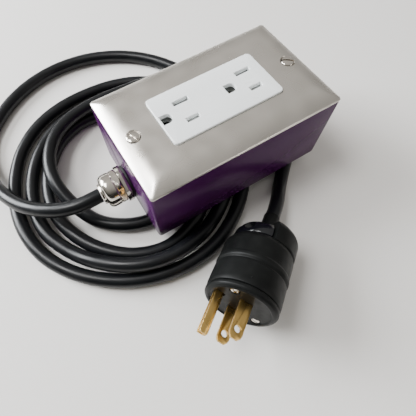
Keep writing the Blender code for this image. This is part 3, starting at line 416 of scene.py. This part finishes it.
def turned(name, profile, place, steps=96, closed=False):
    """A profile of (radius, z) turned about Z. It ends on the axis, or with closed it is a ring's section."""
    bm = bmesh.new()
    turns = [2 * math.pi * i / steps for i in range(steps)]
    rows = []
    for radius, z in profile:
        around = turns if radius else turns[:1]
        rows.append([bm.verts.new((radius * math.cos(turn), radius * math.sin(turn), z)) for turn in around])
    pairs = list(zip(rows, rows[1:]))
    if closed:
        pairs.append((rows[-1], rows[0]))
    for first, second in pairs:
        for i in range(steps):
            j = (i + 1) % steps
            corners = [first[i % len(first)], first[j % len(first)],
                       second[j % len(second)], second[i % len(second)]]
            bm.faces.new(list(dict.fromkeys(corners)))
    bmesh.ops.recalc_face_normals(bm, faces=bm.faces)
    return solid(name, bm, place)


def block(name, low, high, place):
    bm = bmesh.new()
    bmesh.ops.create_cube(bm, size=1.0)
    for vertex in bm.verts:
        vertex.co = [low[i] + (high[i] - low[i]) * (vertex.co[i] + 0.5) for i in range(3)]
    return solid(name, bm, place)


def rounded_profile(points, radius, steps=4):
    """The profile with each inner corner turned into a small curve, at most radius from the corner."""
    points = [Vector(point) for point in points]
    curve = [points[0]]
    for before, corner, after in zip(points, points[1:], points[2:]):
        reach = min(radius, (before - corner).length * 0.45, (after - corner).length * 0.45)
        start = corner + (before - corner).normalized() * reach
        end = corner + (after - corner).normalized() * reach
        for step in range(steps + 1):
            t = step / steps
            curve.append(start * (1 - t) ** 2 + corner * (2 * t * (1 - t)) + end * t ** 2)
    return [tuple(point) for point in curve + [points[-1]]]


def refined(name, node, slot, edge):
    """A copy of a CAD node with its facets merged, its sharp edges rounded and its curves shaded smoothly."""
    bm = bmesh.new()
    bm.from_mesh(frame["nodes"][node].data)
    bmesh.ops.remove_doubles(bm, verts=bm.verts, dist=0.002 * MM)
    bmesh.ops.dissolve_limit(bm, angle_limit=math.radians(1.5), verts=bm.verts, edges=bm.edges)
    stand_for(soften(solid(name, bm), edge), slot, "box", node)


# ---------------------------------------------------------------- box, plate and outlets

PLATE_BEVEL = 11.0 * MM
PLATE_ROLL = 2.9 * MM
PLATE_SHEET = 0.9 * MM
PLATE_SCREW_X = 48.42 * MM
PLATE_SCREW_Z = PLATE_HIGH.z - 0.3 * MM
FACE_CORNER = 2.5 * MM
BLADE_SPREAD = 12.7 * MM
BLADES_X = [sum(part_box(f"shutter_{number}")[i].x for i in (0, 1)) / 2 for number in (1, 2)]
GROUND_REACH = 11.9 * MM
NEUTRAL_SLOT = (9.2 * MM, 2.7 * MM)
HOT_SLOT = (7.4 * MM, 2.7 * MM)
GROUND_HOLE = 5.9 * MM
SLOT_CORNER = 0.25 * MM
SLOT_FLARE = 0.2 * MM


def make_plate():
    """The stainless plate: a wide roll along every edge, mitred at the corners."""
    rim = PLATE_LOW.z
    rise = PLATE_HIGH.z - rim
    size = PLATE_HIGH - PLATE_LOW
    window = (FACE_HIGH.x - FACE_LOW.x + 2 * GAP, FACE_HIGH.y - FACE_LOW.y + 2 * GAP, FACE_CORNER + GAP)
    edge = 0.3 * MM
    skirt = rise - PLATE_ROLL
    outer = [(0, 0), (0, skirt - 0.6 * MM), (0.05 * MM, skirt - 0.35 * MM), (0.15 * MM, skirt - 0.15 * MM)]
    for step in range(19):
        share = step / 18
        outer.append((edge + (PLATE_BEVEL - edge) * share, rise - PLATE_ROLL * (1 - share) ** 2))
    inner = [(PLATE_SHEET, 0), (PLATE_SHEET, skirt - PLATE_SHEET), (PLATE_BEVEL, rise - PLATE_SHEET)]

    def section(inset, height):
        corner = 1.6 * MM + 0.12 * inset
        return rounded_rectangle(size.x - 2 * inset, size.y - 2 * inset, corner, rim + height)

    grown = (window[0] + 0.3 * MM, window[1] + 0.3 * MM, window[2] + 0.15 * MM)
    loops = [rounded_rectangle(*window, PLATE_HIGH.z - 0.15 * MM), rounded_rectangle(*grown, PLATE_HIGH.z)]
    loops += [section(*point) for point in reversed(outer)]
    loops += [section(*point) for point in inner]
    loops.append(rounded_rectangle(*window, PLATE_HIGH.z - PLATE_SHEET))
    plate = lofted("bevelled_plate", loops, ring=True)
    sink = [(0, 0.6 * MM), (4.45 * MM, 0.6 * MM), (3.9 * MM, -0.2 * MM),
            (1.5 * MM, -2.6 * MM), (0, -2.6 * MM)]
    for side in (-1, 1):
        combine(plate, turned("sink", sink, Matrix.Translation((side * PLATE_SCREW_X, 0, PLATE_SCREW_Z))))
    stand_for(shade(plate, 40), "brushed_stainless", "box", "cover_plate")


def flared_levels():
    """How much larger than its hole a cutter is, and at which height, from above the face to below it."""
    top = FACE_HIGH.z
    return [(SLOT_FLARE * 1.3, top + 0.3 * SLOT_FLARE), (SLOT_FLARE, top),
            (SLOT_FLARE * 0.3, top - SLOT_FLARE * 0.6), (0, top - 1.4 * SLOT_FLARE), (0, top - 4 * MM)]


def slot_cutter(x, y, length, width):
    """A blade slot's cutter, flared where it meets the face."""
    loops = []
    for grow, z in flared_levels():
        loop = rounded_rectangle(length + 2 * grow, width + 2 * grow, SLOT_CORNER + grow, z, 3)
        loops.append([(px + x, py + y, pz) for px, py, pz in loop])
    return lofted("slot", loops)


def ground_cutter(x):
    """A ground hole's cutter: round towards the blades, flat on the other side, flared at the face."""
    arc = [math.pi * (step / 16 - 0.5) for step in range(17)]
    loops = []
    for grow, z in flared_levels():
        radius = GROUND_HOLE / 2 + grow
        loop = [(x + 0.1 * MM + radius * math.cos(turn), radius * math.sin(turn), z) for turn in arc]
        loops.append(loop + [(x - radius, radius, z), (x - radius, -radius, z)])
    return lofted("ground", loops)


def make_face():
    """The white face: a cap with softened edges and flared slots."""
    size = FACE_HIGH - FACE_LOW
    edge = 0.6 * MM
    wall = 1.8 * MM
    loops = []
    for step in range(5):
        turn = math.pi / 2 * step / 4
        inset = edge * (1 - math.sin(turn))
        loops.append(rounded_rectangle(size.x - 2 * inset, size.y - 2 * inset, FACE_CORNER - inset,
                                       FACE_HIGH.z - edge * (1 - math.cos(turn))))
    inside = (size.x - 2 * wall, size.y - 2 * wall, FACE_CORNER - wall)
    loops.append(rounded_rectangle(size.x, size.y, FACE_CORNER, FACE_LOW.z))
    loops += [rounded_rectangle(*inside, z) for z in (FACE_LOW.z, FACE_HIGH.z - 2.4 * MM)]
    face = lofted("duplex_face", loops)
    for x in BLADES_X:
        combine(face, slot_cutter(x, BLADE_SPREAD / 2, *NEUTRAL_SLOT))
        combine(face, slot_cutter(x, -BLADE_SPREAD / 2, *HOT_SLOT))
        combine(face, ground_cutter(x - GROUND_REACH))
    stand_for(shade(face, 30), "white_plastic", "box", "receptacle_face")


def make_plate_screws():
    """Slotted oval-head screws."""
    head = 3.6 * MM
    crown = 0.85 * MM
    profile = [(0, crown)]
    profile += [(head * math.sin(t), crown * math.cos(t)) for t in np.linspace(0.15, math.pi / 2, 10)]
    profile += [(head * 0.98, -0.15 * MM), (1.6 * MM, -2.1 * MM), (1.6 * MM, -11 * MM), (0, -11.6 * MM)]
    for number, side, turn in ((1, -1, 112), (2, 1, -38)):
        spin = Matrix.Rotation(math.radians(turn), 4, "Z")
        place = Matrix.Translation((side * PLATE_SCREW_X, 0, PLATE_SCREW_Z)) @ spin
        screw = turned(f"oval_screw_{number}", profile, place, 64)
        slot = block("slot", (-5 * MM, -0.45 * MM, -0.9 * MM), (5 * MM, 0.45 * MM, 2 * MM), place)
        combine(screw, slot)
        stand_for(soften(screw, 0.06 * MM, 40), "nickel_plate", "box", f"plate_screw_{number}")


# ---------------------------------------------------------------- gland

GLAND_PLACE = Matrix.Translation((BOX_LOW.x, 0, GLAND_Z)) @ Matrix.Rotation(-math.pi / 2, 4, "Y")
GLAND_END = 17.8 * MM
GLAND_NUT_START = 5.4 * MM


def make_gland_nut():
    """The domed nut: a chamfered hexagon, a turned groove, a smooth dome and a thin collar round the cord."""
    end = GLAND_END
    dome = end - 1.3 * MM
    outside = rounded_profile([
        (5.4 * MM, end - 0.4 * MM), (5.6 * MM, end), (6.1 * MM, end), (6.3 * MM, dome),
        (8.0 * MM, dome - 0.2 * MM), (9.2 * MM, dome - 1.1 * MM), (9.9 * MM, dome - 2.4 * MM),
        (10.1 * MM, dome - 3.8 * MM), (10.1 * MM, 9.4 * MM), (9.8 * MM, 9.1 * MM), (9.8 * MM, 8.7 * MM),
        (10.9 * MM, 8.3 * MM), (10.9 * MM, 6.2 * MM), (9.9 * MM, GLAND_NUT_START)], 0.7 * MM)
    inside = [(8.3 * MM, GLAND_NUT_START), (8.3 * MM, 10.3 * MM), (7.1 * MM, 10.9 * MM),
              (7.1 * MM, 15.6 * MM), (5.4 * MM, 16.1 * MM)]
    nut = turned("gland_dome_nut", outside + inside, GLAND_PLACE, closed=True)
    flat_up = GLAND_PLACE @ Matrix.Rotation(math.radians(30), 4, "Z")
    hexagon = [(0, 8.9 * MM), (11.2 * MM, 8.9 * MM), (11.2 * MM, 2 * MM), (0, 2 * MM)]
    flats = turned("flats", hexagon, flat_up, 6)
    dome_way = [(0, end + MM), (12 * MM, end + MM), (12 * MM, 8.85 * MM), (0, 8.85 * MM)]
    combine(flats, turned("dome", dome_way, GLAND_PLACE, 32), "UNION")
    combine(nut, flats, "INTERSECT")
    stand_for(shade(nut, 30), "nickel_plate", "gland_nut", "gland_nut")


# ---------------------------------------------------------------- plug

PLUG_SCREWS = [f"plug_face_screw_{number}" for number in (1, 2, 3)] + ["clamp_screw_1", "clamp_screw_2"]


def make_plug_face():
    """The front disc: a raised rim, a sunken face, slots for the prongs and recesses for the screws."""
    profile = rounded_profile([
        (0, -0.6 * MM), (15.5 * MM, -0.6 * MM), (15.8 * MM, 0), (16.6 * MM, 0), (17.8 * MM, -0.5 * MM),
        (18.6 * MM, -1.5 * MM), (18.6 * MM, -2.9 * MM), (18.2 * MM, -3.2 * MM), (15.7 * MM, -3.2 * MM),
        (15.7 * MM, -5.2 * MM), (0, -5.2 * MM)], 0.4 * MM)
    face = turned("plug_front_disc", profile, PLUG_PLACE)
    for x, y, thickness, width in ((-BLADE_SPREAD / 2, 0, *BLADE), (BLADE_SPREAD / 2, 0, *BLADE),
                                   (0, -GROUND_REACH, *PIN)):
        low = (x - thickness / 2 - GAP, y - width / 2 - GAP, -8 * MM)
        high = (x + thickness / 2 + GAP, y + width / 2 + GAP, 2 * MM)
        combine(face, block("prong_slot", low, high, PLUG_PLACE))
    recess = [(0, MM), (2.8 * MM, MM), (2.6 * MM, -0.9 * MM), (2.6 * MM, -1.7 * MM), (1.4 * MM, -1.7 * MM),
              (1.4 * MM, -8 * MM), (0, -8 * MM)]
    for turn in FACE_SCREW_TURNS:
        x, y = (FACE_SCREW_CIRCLE * f(math.radians(turn)) for f in (math.cos, math.sin))
        combine(face, turned("recess", recess, PLUG_PLACE @ Matrix.Translation((x, y, 0)), 32))
    stand_for(shade(face, 30), "plug_rubber", "box", "plug_face")


def make_plug_body():
    """The rubber body: two bands with a step, a hollow inside, and a boss on one side of the cord."""
    r = PLUG_RADIUS
    wall = 2.8 * MM
    outside = rounded_profile([
        (r - wall, -3.5 * MM), (r - 1.2 * MM, -3.5 * MM), (r - 0.5 * MM, -3.8 * MM),
        (r - 0.2 * MM, -5.5 * MM), (r - 0.3 * MM, -16.2 * MM), (r - 1.0 * MM, -16.7 * MM),
        (r - 1.0 * MM, -17.3 * MM), (r, -18.4 * MM), (r, -20.2 * MM), (r - 0.3 * MM, -20.9 * MM),
        (r - 0.3 * MM, -31.0 * MM), (r - 1.3 * MM, -33.4 * MM), (r - 3.6 * MM, -35.0 * MM),
        (CORD_WAY_RADIUS, -35.0 * MM)], 0.8 * MM)
    inside = [(CORD_WAY_RADIUS, -32.6 * MM), (r - wall - 2.5 * MM, -32.6 * MM), (r - wall, -28.5 * MM)]
    body = turned("plug_shell", outside + inside, PLUG_PLACE, closed=True)
    boss_profile = rounded_profile([
        (0, -32.9 * MM), (18.1 * MM, -32.9 * MM), (18.6 * MM, -33.6 * MM), (18.6 * MM, -42.6 * MM),
        (PLUG_REST_RADIUS, -PLUG_REST), (16.6 * MM, -45.9 * MM), (14 * MM, -47 * MM), (10 * MM, -PLUG_LENGTH),
        (0, -PLUG_LENGTH)], 0.8 * MM)
    boss = turned("boss", boss_profile, PLUG_PLACE)
    half = block("half", (-30 * MM, CLAMP_PARTING, -60 * MM), (30 * MM, 30 * MM, -32.8 * MM), PLUG_PLACE)
    combine(boss, half, "INTERSECT")
    combine(body, boss, "UNION")
    cord_way = [(0, -31 * MM), (CORD_WAY_RADIUS, -31 * MM), (CORD_WAY_RADIUS, -60 * MM), (0, -60 * MM)]
    combine(body, turned("cord_way", cord_way, PLUG_PLACE, 32))
    soften(body, 0.3 * MM, 50)
    stand_for(shade(body, 30), "plug_rubber", "box", "plug_body")


def make_moulding_dots():
    """A small moulding mark on each of the plug's bands."""
    dots = bmesh.new()
    for turn, along in ((169, -22.0), (-161, -7.3)):
        place = Matrix.Rotation(math.radians(turn), 4, "Z") @ Matrix.Translation((18.65 * MM, 0, along * MM))
        bmesh.ops.create_uvsphere(dots, u_segments=16, v_segments=8, radius=0.42 * MM, matrix=place)
    piece = solid("moulding_dots", dots, PLUG_PLACE)
    stand_for(shade(piece), "plug_rubber", "box")


def make_pieces():
    make_plate()
    make_face()
    make_plate_screws()
    make_gland_nut()
    make_plug_face()
    make_plug_body()
    make_moulding_dots()
    for slot, edge, nodes in (
            ("purple_paint", 0.25 * MM, ("housing",)),
            ("nickel_plate", 0.25 * MM, ("gland_body",)),
            ("black_rubber", 0.15 * MM, ("gland_washer",)),
            ("gloss_black_nylon", 0.35 * MM, ("plug_cord_clamp",)),
            ("brass", 0.18 * MM, ("hot_blade", "neutral_blade")),
            ("brass", 0.12 * MM, ("ground_pin",)),
            ("nickel_plate", 0.06 * MM, PLUG_SCREWS)):
        for node in nodes:
            refined(f"fine_{node}", node, slot, edge)


# ---------------------------------------------------------------- cord

def distances_along(points):
    """How far along the row each point lies."""
    return np.concatenate([[0], np.cumsum(np.linalg.norm(np.diff(points, axis=0), axis=1))])


def smooth_line(points, count):
    """Evenly spaced points on a smooth curve through the given points."""
    route = np.array(points, dtype=float)
    knots = distances_along(route)
    slopes = np.gradient(route, knots, axis=0)
    curve = []
    for i, span in enumerate(np.diff(knots)):
        for t in np.linspace(0, 1, STEPS_PER_SPAN, endpoint=False):
            values = (2 * t ** 3 - 3 * t ** 2 + 1) * route[i] + (3 * t ** 2 - 2 * t ** 3) * route[i + 1]
            leads = (t ** 3 - 2 * t ** 2 + t) * slopes[i] + (t ** 3 - t ** 2) * slopes[i + 1]
            curve.append(values + leads * span)
    curve = np.array(curve + [route[-1]])
    along = distances_along(curve)
    places = np.linspace(0, along[-1], count)
    return np.stack([np.interp(places, along, axis) for axis in curve.T], axis=1)


def cord_line():
    """Points along the whole cord, with a short straight run out of the gland and into the plug."""
    points = CORD_START + FIRST_TURN + SECOND_TURN + THIRD_TURN + LAST_TURN
    route = [Vector((x, y, height)) * MM + Vector((0, 0, SURFACE_Z)) for x, y, height in points]
    behind_plug = [PLUG_PLACE @ Vector((0, 0, -PLUG_LENGTH - GAP - run)) for run in (9 * MM, 3 * MM, 0)]
    start = Vector((GLAND_LOW.x - GAP, 0, GLAND_Z))
    first = start - Vector((3 * MM, 0, 0))
    line = smooth_line([first] + route + behind_plug[:2], CORD_POINTS)
    return np.vstack([start, line, behind_plug[2]])


def make_cord():
    line = cord_line()
    curve = bpy.data.curves.new("flexible_cord", "CURVE")
    curve.dimensions = "3D"
    curve.bevel_depth = CORD_RADIUS
    curve.bevel_resolution = 6
    curve.use_fill_caps = True
    spline = curve.splines.new("POLY")
    spline.points.add(len(line) - 1)
    for point, place in zip(spline.points, line):
        point.co = (*place, 1)
    spline.use_smooth = True
    cord = link(bpy.data.objects.new("flexible_cord", curve))
    curve.materials.append(MATERIALS["cord_jacket"])
    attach(cord, "box")
    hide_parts("power_cord")


# ---------------------------------------------------------------- studio

def area_light(name, place, size, power, colour=(1, 1, 1)):
    """A soft light that faces the box."""
    data = bpy.data.lights.new(name, "AREA")
    data.shape = "RECTANGLE"
    data.size, data.size_y = size
    data.energy = power
    data.color = colour
    light = link(bpy.data.objects.new(name, data))
    light.location = place
    light.rotation_euler = (-Vector(place)).to_track_quat("-Z", "Y").to_euler()


def make_studio():
    bm = bmesh.new()
    bmesh.ops.create_grid(bm, x_segments=1, y_segments=1, size=3)
    bmesh.ops.translate(bm, verts=bm.verts, vec=(0, 0, SURFACE_Z))
    mesh = bpy.data.meshes.new("floor")
    bm.to_mesh(mesh)
    bm.free()
    floor = link(bpy.data.objects.new("floor", mesh))
    mesh.materials.append(plain("floor", (0.78, 0.76, 0.73), 0.8))
    make_sky()
    area_light("window", (-0.75, 0.80, 0.55), (0.7, 0.6), 40, (0.94, 0.97, 1.0))
    area_light("ceiling", (-0.50, 0.35, 1.1), (0.5, 0.4), 12)
    area_light("front_fill", (0.6, -1.0, 0.6), (0.5, 0.4), 3, (1.0, 0.96, 0.90))


def make_sky():
    """A warm grey surround, lighter overhead and towards the window, dark below the horizon."""
    world = bpy.data.worlds.new("studio")
    world.use_nodes = True
    nodes = world.node_tree.nodes
    links = world.node_tree.links
    toward = nodes.new("ShaderNodeVectorMath")
    toward.operation = "DOT_PRODUCT"
    toward.inputs[1].default_value = (0.10, 0.50, 0.80)
    brightness = nodes.new("ShaderNodeMapRange")
    for socket, number in (("From Min", -0.1), ("From Max", 1.0), ("To Min", 0.04), ("To Max", 0.75)):
        brightness.inputs[socket].default_value = number
    links.new(nodes.new("ShaderNodeTexCoord").outputs["Generated"], toward.inputs[0])
    links.new(toward.outputs["Value"], brightness.inputs["Value"])
    nodes["Background"].inputs["Color"].default_value = (1.0, 0.97, 0.93, 1)
    links.new(brightness.outputs["Result"], nodes["Background"].inputs["Strength"])
    bpy.context.scene.world = world


# ---------------------------------------------------------------- scene

make_camera()
dress_nodes()
make_pieces()
make_cord()
make_studio()
